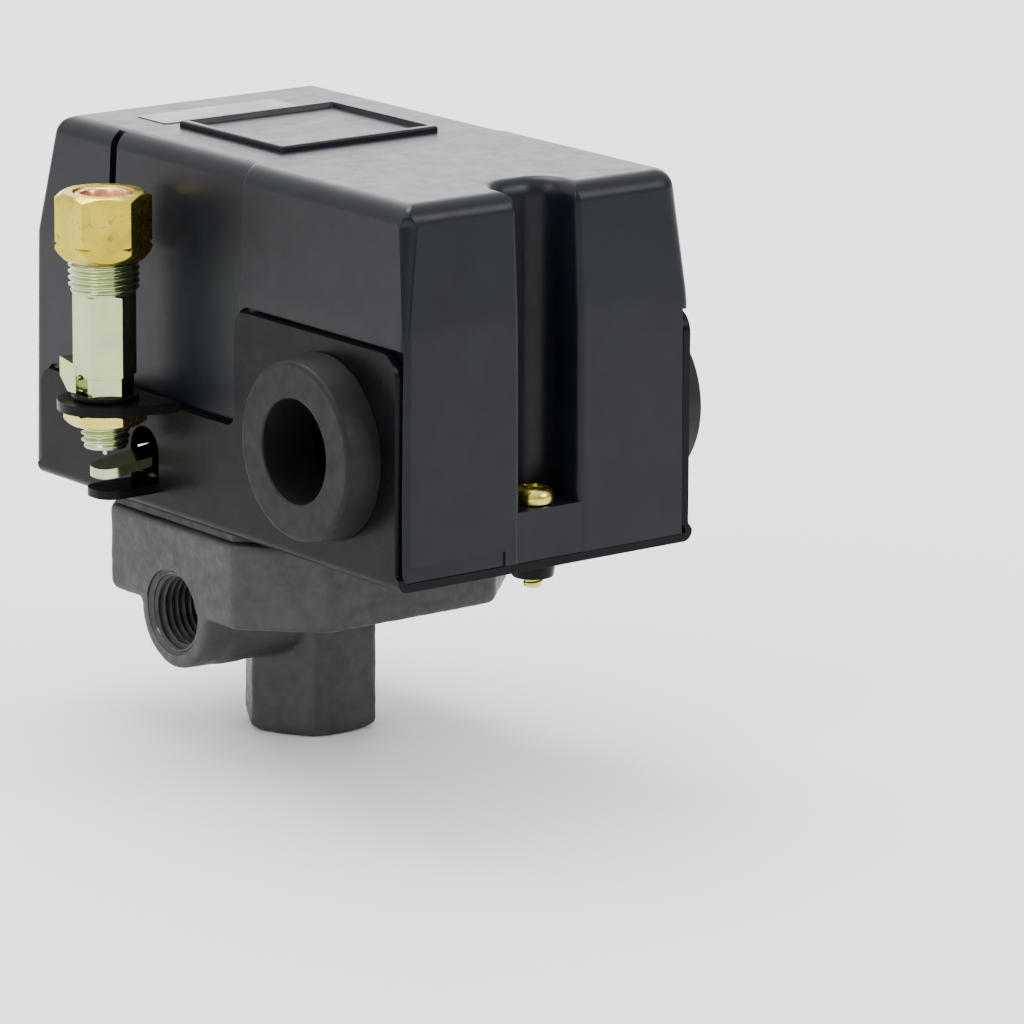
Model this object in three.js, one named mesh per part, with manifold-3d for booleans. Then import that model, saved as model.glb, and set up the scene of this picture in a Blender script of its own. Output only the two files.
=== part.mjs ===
// Air-compressor pressure switch with a cast manifold, a folded steel base, a moulded cover
// and a side unloader valve.  Millimetres, +Z up.
// The origin is the centre of the mouth of the bottom port; the short face with the cover
// screw looks along -Y, and the unloader valve hangs on the -X side.
import * as THREE from "three";
import { mergeVertices } from "three/addons/utils/BufferGeometryUtils.js";
import Module from "manifold-3d";

const wasm = await Module();
wasm.setup();

// ---- driving dimensions ---------------------------------------------------------------
const PORT_R = 6.2; // mean radius of a 1/4 in pipe thread
const BOSS_AF = 22.7; // hexagon of the bottom port
const FLANGE_Z0 = 25.4;
const FLANGE_Z1 = 41.5;
const FLANGE_X = 31;
const FLANGE_Y = 31.5;
const FLANGE_CHAMFER = 12.4;
const SIDE_BOSS_R = 10.4;
const SIDE_BOSS_Z = 25;

const SHEET = 1.6; // folded steel
const FLOOR_Z0 = 43.2;
const FLOOR_Z1 = FLOOR_Z0 + SHEET;
const PANEL_OUT = 32.3;
const PANEL_IN = PANEL_OUT - SHEET;
const PANEL_FRONT = -69.2;
const PANEL_REAR = 39.2;
const PANEL_EDGE = 31; // the cover's front wall ends here beside each panel
const PANEL_STEP_Y = -22;
const PANEL_LOW_Z = 63.6;
const PANEL_HIGH_Z = 84.6;

const COVER_Z0 = 45;
const COVER_KINK_Z = 88;
const COVER_TOP_Z = 110;
const COVER_WALL = 2;
const COVER_GAP = 0.6; // round the steel panels
const CHANNEL_R = 6.4; // half width of the screw channel
const CHANNEL_BACK = -60.2;
const CHANNEL_CORNER = 4.5;
const LEDGE_Z = 54;

const GROMMET_Y = -49;
const GROMMET_Z = 65.2;
const GROMMET_HOLE_R = 9.25;
const PANEL_HOLE_R = 11;

const VALVE_X = -40.6;
const VALVE_Y = 6;
const LUG_Z0 = 63;
const LUG_Z1 = 64.8;
const LUG_R = 8.6;

const PIVOT_X = 24; // lever hinge, parallel to Y
const PIVOT_Z = 55.1;
const LEVER_Z0 = 54.2;
const LEVER_Z1 = 56;
const RANGE = { x: 6, y: -19, coilR: 9.6, wireR: 1.05, turns: 7, top: 84, studR: 2.5, studTop: 99 };
const DIFF = { x: 6, y: 19.5, coilR: 4.6, wireR: 0.6, turns: 8, top: 76, studR: 1.8, studTop: 88 };
const SPRING_FOOT_Z = LEVER_Z1 - 0.3;
const SPOT_FACE = 0.95; // the spring seats are sunk into the lever by this much

const BLOCK = { x: 26, y0: -56, y1: -37, top: 57 };
const TERMINAL_X = [-19.8, -7.6, 7.6, 19.8];
const TERMINAL_SCREW_Y = -50;
const CONTACT_Y = -40.5;
const POLE_X = [-13.7, 13.7];
const BLOCK_SCREW_Y = -46;
const BRIDGE_Z = 59.5;

const FLANGE_SCREW = 20.5; // the four flange screws stand at (+-20.5, +-20.5)
const EASE = 0.3; // clearance round pins, shanks and rims
const TOUCH = 0.1; // clearance between faces that bear on each other
const FINE = 24;
const COARSE = 16;

// ---- solids ---------------------------------------------------------------------------
// A closed three.js geometry as a manifold solid, turned so that its faces point out.
function solid(geometry) {
  const bare = geometry.clone();
  bare.deleteAttribute("normal");
  bare.deleteAttribute("uv");
  const merged = mergeVertices(bare, 1e-4);
  const triVerts = new Uint32Array(merged.index.array);
  const vertProperties = new Float32Array(merged.attributes.position.array);
  const make = () => new wasm.Manifold(new wasm.Mesh({ numProp: 3, vertProperties, triVerts }));
  let made = make();
  if (made.volume() < 0) {
    for (let i = 0; i < triVerts.length; i += 3) {
      [triVerts[i + 1], triVerts[i + 2]] = [triVerts[i + 2], triVerts[i + 1]];
    }
    made = make();
  }
  return made;
}

function geometryOf(body) {
  const mesh = body.getMesh();
  const stride = mesh.numProp;
  const position = new Float32Array(mesh.numVert * 3);
  for (let i = 0; i < mesh.numVert; i += 1) {
    position.set(mesh.vertProperties.subarray(i * stride, i * stride + 3), i * 3);
  }
  const geometry = new THREE.BufferGeometry();
  geometry.setAttribute("position", new THREE.BufferAttribute(position, 3));
  geometry.setIndex(new THREE.BufferAttribute(mesh.triVerts, 1));
  const flat = geometry.toNonIndexed();
  flat.computeVertexNormals();
  return flat;
}

const union = (...bodies) => bodies.reduce((a, b) => a.add(b));
const cut = (body, ...tools) => tools.reduce((a, b) => a.subtract(b), body);

function box(x0, x1, y0, y1, z0, z1) {
  const geometry = new THREE.BoxGeometry(x1 - x0, y1 - y0, z1 - z0);
  geometry.translate((x0 + x1) / 2, (y0 + y1) / 2, (z0 + z1) / 2);
  return solid(geometry);
}

// A cylinder, or a prism of a few sides, standing along Z.
function post(r, z0, z1, x = 0, y = 0, sides = COARSE, turn = 0) {
  const geometry = new THREE.CylinderGeometry(r, r, z1 - z0, sides);
  geometry.rotateX(Math.PI / 2);
  geometry.rotateZ(turn);
  geometry.translate(x, y, (z0 + z1) / 2);
  return solid(geometry);
}

function rodX(r, x0, x1, y, z, sides = FINE) {
  const geometry = new THREE.CylinderGeometry(r, r, x1 - x0, sides);
  geometry.rotateZ(Math.PI / 2);
  geometry.translate((x0 + x1) / 2, y, z);
  return solid(geometry);
}

function rodY(r, y0, y1, x, z, sides = COARSE) {
  const geometry = new THREE.CylinderGeometry(r, r, y1 - y0, sides);
  geometry.translate(x, (y0 + y1) / 2, z);
  return solid(geometry);
}

// A hexagon by its width across flats; turn 0 puts two flats across X.
function hexagon(af, z0, z1, x, y, turn = 0) {
  return post(af / Math.sqrt(3), z0, z1, x, y, 6, turn);
}

// A shape drawn in plan, standing from z0 to z1.
function plate(shape, z0, z1, curveSegments = 10) {
  const geometry = new THREE.ExtrudeGeometry(shape, { depth: z1 - z0, bevelEnabled: false, curveSegments });
  geometry.translate(0, 0, z0);
  return solid(geometry);
}

// A shape drawn with (y, z), from x0 to x1.
function plateX(shape, x0, x1, curveSegments = 8) {
  const geometry = new THREE.ExtrudeGeometry(shape, { depth: x1 - x0, bevelEnabled: false, curveSegments });
  const depthToX = new THREE.Matrix4().set(0, 0, 1, x0, 1, 0, 0, 0, 0, 1, 0, 0, 0, 0, 0, 1);
  geometry.applyMatrix4(depthToX);
  return solid(geometry);
}

// A shape drawn with (x, z), from y0 to y1.
function plateY(shape, y0, y1, curveSegments = 8) {
  const geometry = new THREE.ExtrudeGeometry(shape, { depth: y1 - y0, bevelEnabled: false, curveSegments });
  const depthToY = new THREE.Matrix4().set(1, 0, 0, 0, 0, 0, -1, y1, 0, 1, 0, 0, 0, 0, 0, 1);
  geometry.applyMatrix4(depthToY);
  return solid(geometry);
}

// A body of revolution about Z from [radius, height] pairs; a profile off the axis closes on itself.
function turned(profile, sides = COARSE, x = 0, y = 0, z = 0) {
  const points = profile.map(([r, h]) => new THREE.Vector2(r, h));
  if (profile[0][0] > 0) {
    points.push(points[0].clone());
  }
  const geometry = new THREE.LatheGeometry(points, sides);
  geometry.rotateX(Math.PI / 2);
  geometry.translate(x, y, z);
  return solid(geometry);
}

// A polygon with each corner rounded by its own radius: [x, y, radius].
function rounded(corners) {
  const shape = new THREE.Shape();
  const count = corners.length;
  corners.forEach(([x, y, r], i) => {
    const here = new THREE.Vector2(x, y);
    const before = new THREE.Vector2(...corners[(i + count - 1) % count].slice(0, 2));
    const after = new THREE.Vector2(...corners[(i + 1) % count].slice(0, 2));
    const back = before.sub(here).normalize();
    const ahead = after.sub(here).normalize();
    const half = Math.acos(THREE.MathUtils.clamp(back.dot(ahead), -1, 1)) / 2;
    const reach = r / Math.tan(half);
    const start = here.clone().addScaledVector(back, reach);
    const end = here.clone().addScaledVector(ahead, reach);
    if (i === 0) {
      shape.moveTo(start.x, start.y);
    } else {
      shape.lineTo(start.x, start.y);
    }
    if (r > 0) {
      shape.quadraticCurveTo(x, y, end.x, end.y);
    }
  });
  shape.closePath();
  return shape;
}

class Helix extends THREE.Curve {
  constructor(radius, z0, z1, turns) {
    super();
    Object.assign(this, { radius, z0, z1, turns });
  }
  getPoint(t, target = new THREE.Vector3()) {
    const angle = t * this.turns * 2 * Math.PI;
    const z = this.z0 + t * (this.z1 - this.z0);
    return target.set(this.radius * Math.cos(angle), this.radius * Math.sin(angle), z);
  }
}

// A round-wire compression spring between two heights.
function coil(coilR, wireR, z0, z1, turns, stepsPerTurn = 12, sides = 5) {
  const wire = new THREE.Shape();
  for (let i = 0; i < sides; i += 1) {
    const angle = (i / sides) * 2 * Math.PI;
    const point = [wireR * Math.cos(angle), wireR * Math.sin(angle)];
    if (i === 0) {
      wire.moveTo(...point);
    } else {
      wire.lineTo(...point);
    }
  }
  wire.closePath();
  const path = new Helix(coilR, z0 + wireR, z1 - wireR, turns);
  const steps = Math.round(turns * stepsPerTurn);
  return solid(new THREE.ExtrudeGeometry(wire, { steps, extrudePath: path }));
}

// A pan-head screw whose head rests at height 0 and whose shank reaches down by length.
function panScrew(headR, headH, shankR, length, sides = 16) {
  const crown = 0.62 * headR;
  return turned([[0, -length], [shankR, -length], [shankR, 0], [headR, 0], [headR, 0.5 * headH],
    [crown, headH], [0, headH]], sides);
}

// ---- assembly -------------------------------------------------------------------------
const group = new THREE.Group();

function finish(color, roughness, metalness) {
  return () => new THREE.MeshStandardMaterial({ color, roughness, metalness });
}

const FINISHES = {
  castGrey: finish(0x5f5d5c, 0.7, 0.5),
  blackPaint: finish(0x3c3f42, 0.5, 0.3),
  blackPlastic: finish(0x3a3f48, 0.45, 0),
  blackRubber: finish(0x34363a, 0.9, 0),
  zinc: finish(0xd4dcc4, 0.35, 0.9),
  yellowZinc: finish(0xd9cf63, 0.35, 0.9),
  brass: finish(0xc3af5a, 0.3, 0.95),
  copper: finish(0xd7825a, 0.3, 0.95),
  steel: finish(0xb4b6b8, 0.35, 0.9),
  springSteel: finish(0x8d9095, 0.35, 0.9),
  phenolic: finish(0x2c2a28, 0.6, 0),
  ivoryNylon: finish(0xd8d2bd, 0.5, 0),
  greenZinc: finish(0x4f8a4a, 0.4, 0.7),
  greySticker: finish(0x9aa0a3, 0.5, 0),
};

function add(name, body, finishName, x = 0, y = 0, z = 0) {
  const mesh = new THREE.Mesh(geometryOf(body), FINISHES[finishName]());
  mesh.name = name;
  mesh.position.set(x, y, z);
  group.add(mesh);
  return mesh;
}

// ---- manifold: hexagonal bottom port, octagonal flange, one side port --------------------
function buildManifold() {
  const c = FLANGE_CHAMFER;
  const octagon = rounded([
    [-FLANGE_X, -FLANGE_Y + c, 1], [-FLANGE_X + c, -FLANGE_Y, 1], [FLANGE_X - c, -FLANGE_Y, 1],
    [FLANGE_X, -FLANGE_Y + c, 1], [FLANGE_X, FLANGE_Y - c, 1], [FLANGE_X - c, FLANGE_Y, 1],
    [-FLANGE_X + c, FLANGE_Y, 1], [-FLANGE_X, FLANGE_Y - c, 1],
  ]);
  const hexCorner = BOSS_AF / Math.sqrt(3);
  const rim = 1.4;
  const bossTop = FLANGE_Z0 + 1.6;
  const hexChamfer = turned([[0, 0], [hexCorner - rim, 0], [hexCorner + 1, rim + 1],
    [hexCorner + 1, bossTop], [0, bossTop]], FINE);
  const boss = hexagon(BOSS_AF, 0, bossTop, 0, 0, Math.PI / 2).intersect(hexChamfer);
  const sideBoss = rodX(SIDE_BOSS_R, 0.5 - FLANGE_X, 0, 0, SIDE_BOSS_Z);
  const body = union(boss, plate(octagon, FLANGE_Z0, FLANGE_Z1, 3), sideBoss);
  const chamber = post(13, FLANGE_Z1 - 3.5, FLANGE_Z1 + 1, 0, 0, FINE);
  const riser = post(PORT_R, -1, FLANGE_Z1 - 3, 0, 0, FINE);
  const sidePort = rodX(PORT_R, -FLANGE_X - 1, 0, 0, SIDE_BOSS_Z);
  const mouth = turned([[0, -1], [PORT_R + 2, -1], [PORT_R, 1], [0, 1]], FINE);
  const screwHoles = [-1, 1].flatMap((sx) => [-1, 1].map((sy) =>
    post(2 + EASE, FLANGE_Z1 - 13, FLANGE_Z1 + 1, sx * FLANGE_SCREW, sy * FLANGE_SCREW, 12)));
  add("manifold", cut(body, chamber, riser, sidePort, mouth, ...screwHoles), "castGrey");
}

// ---- diaphragm: rubber sheet clamped between manifold and base -----------------------
function buildDiaphragm() {
  const inset = 0.9;
  const c = FLANGE_CHAMFER;
  const x = FLANGE_X - inset;
  const y = FLANGE_Y - inset;
  const sheet = rounded([
    [-x, -y + c, 0], [-x + c, -y, 0], [x - c, -y, 0], [x, -y + c, 0],
    [x, y - c, 0], [x - c, y, 0], [-x + c, y, 0], [-x, y - c, 0],
  ]);
  const screwHoles = [-1, 1].flatMap((sx) => [-1, 1].map((sy) =>
    post(2 + EASE, 40, 45, sx * FLANGE_SCREW, sy * FLANGE_SCREW, 12)));
  add("diaphragm", cut(plate(sheet, FLANGE_Z1 + TOUCH, FLOOR_Z0 - TOUCH), ...screwHoles), "blackRubber");
}

// ---- base frame: floor, two side panels, lever slot, stop tongue, valve lug, pivot ears
function panelProfile() {
  return rounded([
    [PANEL_FRONT, FLOOR_Z0, 0], [PANEL_REAR, FLOOR_Z0, 3], [PANEL_REAR, PANEL_LOW_Z, 3],
    [PANEL_STEP_Y, PANEL_LOW_Z, 2.5], [PANEL_STEP_Y, PANEL_HIGH_Z, 3], [PANEL_FRONT, PANEL_HIGH_Z, 4],
  ]);
}

function lugShape() {
  const root = { x: 0.5 - PANEL_OUT, near: -5, far: 16.5 };
  const shape = new THREE.Shape();
  const tangent = (y, side) => {
    const dx = root.x - VALVE_X;
    const dy = y - VALVE_Y;
    return Math.atan2(dy, dx) + side * Math.acos(LUG_R / Math.hypot(dx, dy));
  };
  shape.moveTo(root.x, root.near);
  shape.lineTo(root.x, root.far);
  shape.absarc(VALVE_X, VALVE_Y, LUG_R, tangent(root.far, 1), tangent(root.near, -1) + 2 * Math.PI, false);
  shape.closePath();
  return shape;
}

function buildBaseFrame() {
  const floor = box(-PANEL_OUT, PANEL_OUT, -70.3, 40.6, FLOOR_Z0, FLOOR_Z1);
  const panels = [plateX(panelProfile(), -PANEL_OUT, -PANEL_IN), plateX(panelProfile(), PANEL_IN, PANEL_OUT)];
  const slot = rounded([[1.5, 48.5, 0], [10.2, 48.5, 0], [10.2, 58.5, 4.3], [1.5, 58.5, 4.3]]);
  const tongue = rounded([[-31.5, 2, 0], [-31.5, 10, 0], [-43.5, 10, 3.9], [-43.5, 2, 3.9]]);
  const ear = rounded([
    [PIVOT_X - 4, FLOOR_Z1 - 0.5, 0], [PIVOT_X + 4, FLOOR_Z1 - 0.5, 0],
    [PIVOT_X + 4, PIVOT_Z + 4.5, 3], [PIVOT_X - 4, PIVOT_Z + 4.5, 3],
  ]);
  const body = union(floor, ...panels, plate(tongue, 46.9, 48.5, 6), plate(lugShape(), LUG_Z0, LUG_Z1, 12),
    plateY(ear, -32.2, -30.6), plateY(ear, 27.6, 29.2));
  const holes = [
    plateX(slot, -PANEL_OUT - 1, -PANEL_IN + 1, 6),
    post(10.6, 40, 50, 0, 0, FINE),
    post(4.7, 60, 70, VALVE_X, VALVE_Y),
    post(1.8 + EASE, 40, 50, 0, -66, 12),
    post(1.5 + EASE, 40, 50, RANGE.x, RANGE.y, 12),
    post(1.2 + EASE, 40, 50, DIFF.x, DIFF.y, 12),
    rodY(2 + EASE, -40, 40, PIVOT_X, PIVOT_Z, 16),
    rodX(PANEL_HOLE_R, -40, 40, GROMMET_Y, GROMMET_Z),
  ];
  for (const sx of [-1, 1]) {
    holes.push(post(1.5 + EASE, 40, 50, sx * 20, -62, 12));
    holes.push(post(1.5 + EASE, 40, 50, sx * POLE_X[1], BLOCK_SCREW_Y, 12));
    for (const sy of [-1, 1]) {
      holes.push(post(2 + EASE, 40, 50, sx * FLANGE_SCREW, sy * FLANGE_SCREW, 12));
    }
  }
  add("base_frame", cut(body, ...holes), "blackPaint");
}

// ---- fasteners -------------------------------------------------------------------------
function buildFasteners() {
  const flangeScrew = panScrew(3.8, 2.2, 2, 14);
  let number = 1;
  for (const sx of [-1, 1]) {
    for (const sy of [-1, 1]) {
      add(`flange_screw_${number}`, flangeScrew, "steel", sx * FLANGE_SCREW, sy * FLANGE_SCREW, FLOOR_Z1 + TOUCH);
      number += 1;
    }
  }
  const groundScrew = panScrew(3.6, 2, 1.5, 3.4);
  [-20, 20].forEach((x, i) => add(`ground_screw_${i + 1}`, groundScrew, "greenZinc", x, -62, FLOOR_Z1 + TOUCH));
}

// ---- grommets ----------------------------------------------------------------------------
function buildGrommets() {
  const profile = [[GROMMET_HOLE_R, PANEL_OUT - 4], [GROMMET_HOLE_R, 38.4], [GROMMET_HOLE_R + 0.6, 39],
    [15.2, 39], [15.7, 38.4], [16.5, PANEL_OUT + TOUCH], [PANEL_HOLE_R - EASE, PANEL_OUT + TOUCH],
    [PANEL_HOLE_R - EASE, PANEL_IN - TOUCH], [14, PANEL_IN - TOUCH], [13.4, PANEL_OUT - 4]];
  for (const [name, side] of [["grommet_left", -1], ["grommet_right", 1]]) {
    const points = profile.map(([r, h]) => new THREE.Vector2(r, h));
    points.push(points[0].clone());
    const geometry = new THREE.LatheGeometry(points, FINE);
    geometry.rotateZ((-side * Math.PI) / 2);
    geometry.translate(0, GROMMET_Y, GROMMET_Z);
    add(name, solid(geometry), "blackRubber");
  }
}

// ---- contact block, terminals and the moving contact carrier -----------------------------
function buildContacts() {
  const { x, y0, y1, top } = BLOCK;
  const ribs = [-13.7, 0, 13.7].map((rx) => box(rx - 0.8, rx + 0.8, y0, -45.5, top - 1, top + 7));
  const drilled = [
    ...TERMINAL_X.map((tx) => post(2 + EASE, top - 9, top + 1, tx, TERMINAL_SCREW_Y, 12)),
    ...POLE_X.map((px) => post(1.5 + EASE, FLOOR_Z0, FLOOR_Z1 + 6, px, BLOCK_SCREW_Y, 12)),
    box(-3.3, 3.3, -42.6, -38.4, top - 9, top + 1),
  ];
  const block = union(box(-x, x, y0, y1, FLOOR_Z1 + TOUCH, top), ...ribs);
  add("contact_block", cut(block, ...drilled), "phenolic");
  const blockScrew = panScrew(2.8, 1.6, 1.5, 6);
  POLE_X.forEach((px, i) => {
    const mesh = add(`block_screw_${i + 1}`, blockScrew, "steel", px, BLOCK_SCREW_Y, FLOOR_Z0 - TOUCH);
    mesh.rotation.x = Math.PI;
  });

  const strip = union(box(-4, 4, y0 + 0.5, y1 - 0.6, 0, 1.2), post(2.2, 1, 2.1, 0, CONTACT_Y, 16));
  const terminal = cut(strip, post(2 + EASE, -1, 3, 0, TERMINAL_SCREW_Y, 12));
  const terminalScrew = panScrew(3.7, 2.6, 2, 8.6);
  TERMINAL_X.forEach((tx, i) => {
    add(`terminal_${i + 1}`, terminal, "brass", tx, 0, top + TOUCH);
    add(`terminal_screw_${i + 1}`, terminalScrew, "steel", tx, TERMINAL_SCREW_Y, top + 1.2 + 2 * TOUCH);
  });

  const beamZ = 66;
  const beam = box(-21, 21, CONTACT_Y - 2.5, CONTACT_Y + 2.5, beamZ, beamZ + 4);
  const guide = box(-3, 3, CONTACT_Y - 1.8, CONTACT_Y + 1.8, top - 6, beamZ + 1);
  const stirrups = POLE_X.map((px) => cut(
    box(px - 1.9, px + 1.9, CONTACT_Y - 4.1, CONTACT_Y + 4.1, top + 0.4, beamZ + 1),
    box(px - 3, px + 3, CONTACT_Y - 2.7, CONTACT_Y + 2.7, top + 2.2, beamZ),
  ));
  add("contact_carrier", union(beam, guide, ...stirrups), "ivoryNylon");
  const bridge = box(-9.2, 9.2, -2.4, 2.4, 0, 1.2);
  POLE_X.forEach((px, i) => {
    add(`contact_bridge_${i + 1}`, bridge, "copper", px, CONTACT_Y, BRIDGE_Z);
    const spring = coil(1.5, 0.25, BRIDGE_Z + 1.4, beamZ - 0.2, 4, 8, 4);
    add(`contact_spring_${i + 1}`, spring, "springSteel", px, CONTACT_Y, 0);
  });
}

// ---- lever, its pivot and the plunger ----------------------------------------------------
function buildLever() {
  const armSlope = 0.14; // the arm outside the slot falls by this much for each millimetre
  const tipX = -43;
  const tipTop = 52.3;
  const neckX = -27;
  const neckTop = tipTop + armSlope * (neckX - tipX);
  const arm = new THREE.Shape();
  arm.moveTo(-20, LEVER_Z0);
  arm.lineTo(-20, LEVER_Z1);
  arm.lineTo(-22, LEVER_Z1);
  arm.lineTo(neckX, neckTop);
  arm.lineTo(tipX, tipTop);
  arm.lineTo(tipX, tipTop - 1.8);
  arm.lineTo(neckX, neckTop - 1.8);
  arm.lineTo(-22, LEVER_Z0);
  arm.closePath();
  const armY0 = 2.5;
  const armY1 = 9.5;
  const tipRound = rounded([[-19, armY0, 0], [-19, armY1, 0], [tipX, armY1, 3.4], [tipX, armY0, 3.4]]);
  const armBody = plateY(arm, armY0, armY1).intersect(plate(tipRound, 45, 60, 6));
  const sheet = rounded([[-21, -29, 2], [19, -29, 0], [19, 26, 0], [-21, 26, 2]]);
  const eyes = [[-29, -23], [20, 26]].flatMap(([y0, y1]) => [
    rodY(3.3, y0, y1, PIVOT_X, PIVOT_Z), box(18, PIVOT_X, y0, y1, LEVER_Z0, LEVER_Z1)]);
  const holes = [
    rodY(2 + EASE, -30, 30, PIVOT_X, PIVOT_Z, 16),
    post(RANGE.studR + 1.2, 50, 60, RANGE.x, RANGE.y),
    post(DIFF.studR + 1.2, 50, 60, DIFF.x, DIFF.y),
    post(RANGE.coilR + RANGE.wireR + 0.6, LEVER_Z1 - SPOT_FACE, 60, RANGE.x, RANGE.y, FINE),
    post(DIFF.coilR + DIFF.wireR + 0.6, LEVER_Z1 - SPOT_FACE, 60, DIFF.x, DIFF.y, FINE),
  ];
  add("main_lever", cut(union(plate(sheet, LEVER_Z0, LEVER_Z1, 4), armBody, ...eyes), ...holes), "zinc");
  const onPivot = (r, y0, y1) => rodY(r, y0, y1, PIVOT_X, PIVOT_Z);
  const groove = cut(onPivot(3, 30.6, 31.5), onPivot(1.4, 30, 32));
  add("lever_pivot_pin", cut(union(onPivot(2, -34.4, 32.4), onPivot(3.2, -35.4, -34.2)), groove), "steel");
  const clipMouth = box(PIVOT_X - 1.1, PIVOT_X + 1.1, 30, 32, PIVOT_Z - 5, PIVOT_Z);
  const clip = cut(onPivot(4, 30.75, 31.35), onPivot(1.4 + EASE, 30, 32), clipMouth);
  add("pivot_clip", clip, "springSteel");
  const tip = LEVER_Z0 - TOUCH; // small, so that the tilted lever keeps clear of its rim
  const plunger = turned([[0, FLOOR_Z0 + EASE], [10, FLOOR_Z0 + EASE], [10, FLOOR_Z1], [4.5, FLOOR_Z1 + 2],
    [4.5, tip - 1.4], [1.4, tip], [0, tip]], 28);
  add("plunger", plunger, "ivoryNylon");
}

// ---- a spring on its stud, with a seat and an adjusting nut --------------------------------
function buildAdjuster(prefix, spec, seatR, nutAf, shankR) {
  const { x, y, studR, studTop, top } = spec;
  const stud = turned([[0, FLOOR_Z0 + EASE], [shankR, FLOOR_Z0 + EASE], [shankR, FLOOR_Z1 + TOUCH],
    [studR + 1.6, FLOOR_Z1 + TOUCH], [studR + 1.6, FLOOR_Z1 + 2.4], [studR, FLOOR_Z1 + 2.4],
    [studR, studTop - 0.8], [studR - 0.8, studTop], [0, studTop]], 18);
  add(`${prefix}_stud`, stud, "steel", x, y);
  const spring = coil(spec.coilR, spec.wireR, SPRING_FOOT_Z, top - TOUCH, spec.turns);
  add(`${prefix}_spring`, spring, "springSteel", x, y);
  const bore = studR + EASE;
  const spigotR = spec.coilR - spec.wireR - 0.5;
  const seatTop = top + 1.6;
  const seat = turned([[bore, top - 3], [bore, seatTop], [seatR, seatTop], [seatR, top],
    [spigotR, top], [spigotR, top - 3]], 28);
  add(`${prefix}_seat`, seat, "zinc", x, y);
  const nut = cut(hexagon(nutAf, seatTop + TOUCH, seatTop + 5, 0, 0), post(bore, top, seatTop + 6, 0, 0, 18));
  add(`${prefix}_nut`, nut, "brass", x, y);
}

// ---- unloader valve ------------------------------------------------------------------------
const VALVE = {
  lowR: 4.35, foot: 56, hexAf: 9.8, hex0: 66, hex1: 84.2, neckR: 6.35, neckTop: 96.8,
  nutAf: 15, nut0: 90.3, nut1: 102.3,
};

function buildUnloader() {
  const v = VALVE;
  const foot = turned([[0, v.foot], [3.3, v.foot], [v.lowR, v.foot + 1], [v.lowR, 66], [0, 66]], FINE);
  const neck = turned([[0, v.hex1 - 1], [v.neckR, v.hex1], [v.neckR, v.neckTop - 1],
    [5.4, v.neckTop], [0, v.neckTop]], FINE);
  const ears = rounded([[6.9, 68.6, 0], [6.9, 71.9, 0.6], [-6.9, 71.9, 0.6], [-6.9, 69.6, 0],
    [-4.4, 68.4, 0], [-4.4, v.hex0, 0], [4.4, v.hex0, 0], [4.4, 67.4, 0]]);
  const solidBody = union(foot, hexagon(v.hexAf, v.hex0, v.hex1, 0, 0, Math.PI / 6), plateX(ears, -5, 5, 3), neck);
  const slot = rounded([[-3.3, v.hex0 - 1, 0], [-0.2, v.hex0 - 1, 0], [-0.2, 69.3, 1.5], [-3.3, 69.3, 1.5]]);
  const body = cut(solidBody, post(0.9, 50, 90, 0, 0, 12), post(2.9, 67, 80), post(3.4, 88, 100),
    plateX(slot, -8, -3.6, 4));
  add("unloader_body", body, "zinc", VALVE_X, VALVE_Y);
  const pin = turned([[0, 54.5], [0.5, 54.5], [0.5, 88.3], [2.7, 88.3], [2.7, 90], [1.2, 90.4], [0, 90.4]], 14);
  add("unloader_pin", pin, "steel", VALVE_X, VALVE_Y);
  add("unloader_spring", coil(2.3, 0.3, 90.7, 96.4, 4, 9, 4), "springSteel", VALVE_X, VALVE_Y);
  const nut = hexagon(v.nutAf, v.nut0, v.nut1, 0, 0, Math.PI / 6).intersect(
    turned([[0, v.nut0], [7.3, v.nut0], [8.8, v.nut0 + 1.2], [8.8, v.nut1 - 1.2], [7.3, v.nut1], [0, v.nut1]], FINE));
  const bore = v.neckR + EASE;
  const thread = turned([[0, v.nut0 - 1], [bore, v.nut0 - 1], [bore, 97.5], [5.3, 98.8], [5.3, 104], [0, 104]], FINE);
  add("unloader_nut", cut(nut, thread), "brass", VALVE_X, VALVE_Y);
  const ferrule = turned([[3.25, 97.1], [4.6, 97.1], [5, 98.9], [5, 101.4], [4.6, 101.8], [3.25, 101.8]], FINE);
  add("unloader_ferrule", ferrule, "copper", VALVE_X, VALVE_Y);
  const jamTop = LUG_Z0 - TOUCH;
  const jamNut = cut(hexagon(13, jamTop - 2.6, jamTop, 0, 0, 0.35), post(v.lowR + EASE, 58, 64, 0, 0));
  add("unloader_jam_nut", jamNut, "yellowZinc", VALVE_X, VALVE_Y);
  const washer = cut(post(6, 0, 0.9, 0, 0, FINE), post(v.lowR + EASE, -1, 2, 0, 0));
  add("unloader_lock_plate", washer, "blackPaint", VALVE_X, VALVE_Y, LUG_Z1 + TOUCH);
}

// ---- cover -----------------------------------------------------------------------------------
// Half width and the two ends of the moulding at a height, drafted below and above the kink.
function coverSection(z) {
  const levels = [
    { z: COVER_Z0 - 10, x: 31.5, y0: -71, y1: 44.2 },
    { z: COVER_KINK_Z, x: 31.1, y0: -70.5, y1: 43.5 },
    { z: COVER_TOP_Z, x: 29.8, y0: -69.2, y1: 38.4 },
    { z: COVER_TOP_Z + 10, x: 29.2, y0: -68.6, y1: 36.1 },
  ];
  const upper = Math.max(1, levels.findIndex((level) => z <= level.z));
  const a = levels[upper - 1];
  const b = levels[upper];
  const t = (z - a.z) / (b.z - a.z);
  const mix = (key) => a[key] + t * (b[key] - a[key]);
  return { x: mix("x"), y0: mix("y0"), y1: mix("y1") };
}

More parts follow.
